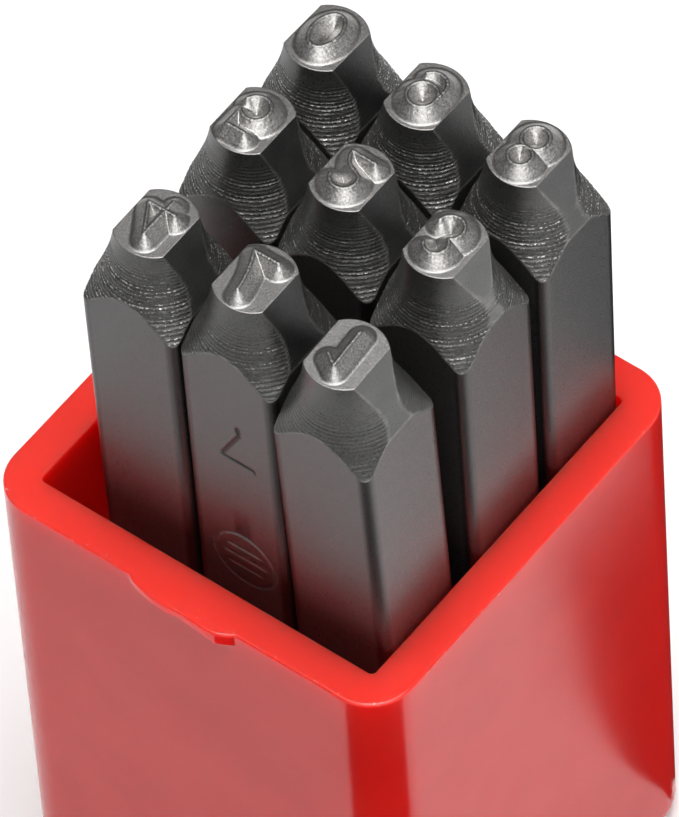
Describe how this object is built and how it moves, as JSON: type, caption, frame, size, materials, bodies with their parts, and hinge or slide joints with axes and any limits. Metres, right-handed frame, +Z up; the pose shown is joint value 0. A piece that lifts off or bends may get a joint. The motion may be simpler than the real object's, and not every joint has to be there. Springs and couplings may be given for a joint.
{
  "type": "number punch set",
  "caption": "Set of square-shank steel number punches with raised mirrored digits, standing in an open square plastic box.",
  "frame": {"origin": "centre of the underside of the box", "axes": "+Z up, out of the open top of the box; X along a row of punches; -Y is the front wall, which has the lid's catch lug"},
  "size_m": [0.0272, 0.0278, 0.061],
  "materials": {
    "case_plastic": "glossy moulded red plastic",
    "tool_steel": "ground and heat-darkened tool steel, oiled"
  },
  "bodies": {
    "case": {"case_box": "case_plastic"},
    "punch_0_body": {"punch_0": "tool_steel"},
    "punch_1_body": {"punch_1": "tool_steel"},
    "punch_2_body": {"punch_2": "tool_steel"},
    "punch_3_body": {"punch_3": "tool_steel"},
    "punch_4_body": {"punch_4": "tool_steel"},
    "punch_5_body": {"punch_5": "tool_steel"},
    "punch_6_9_body": {"punch_6_9": "tool_steel"},
    "punch_7_body": {"punch_7": "tool_steel"},
    "punch_8_body": {"punch_8": "tool_steel"}
  },
  "joints": [
    {"name": "punch_0_lift", "type": "slide", "parent": "case", "child": "punch_0_body", "axis": [0, 0.0148, 0.9999], "range_m": [0, 0.063]},
    {"name": "punch_1_lift", "type": "slide", "parent": "case", "child": "punch_1_body", "axis": [0.0009, -0.0349, 0.9994], "range_m": [0, 0.063]},
    {"name": "punch_2_lift", "type": "slide", "parent": "case", "child": "punch_2_body", "axis": [0.0017, 0.0052, 1], "range_m": [0, 0.063]},
    {"name": "punch_3_lift", "type": "slide", "parent": "case", "child": "punch_3_body", "axis": [0.0061, -0.007, 1], "range_m": [0, 0.063]},
    {"name": "punch_4_lift", "type": "slide", "parent": "case", "child": "punch_4_body", "axis": [-0.0035, -0.0035, 1], "range_m": [0, 0.063]},
    {"name": "punch_5_lift", "type": "slide", "parent": "case", "child": "punch_5_body", "axis": [0, 0.0105, 0.9999], "range_m": [0, 0.063]},
    {"name": "punch_6_9_lift", "type": "slide", "parent": "case", "child": "punch_6_9_body", "axis": [0, 0.0087, 1], "range_m": [0, 0.063]},
    {"name": "punch_7_lift", "type": "slide", "parent": "case", "child": "punch_7_body", "axis": [-0.0026, -0.0026, 1], "range_m": [0, 0.063]},
    {"name": "punch_8_lift", "type": "slide", "parent": "case", "child": "punch_8_body", "axis": [0.0044, 0.0087, 1], "range_m": [0, 0.063]}
  ]
}
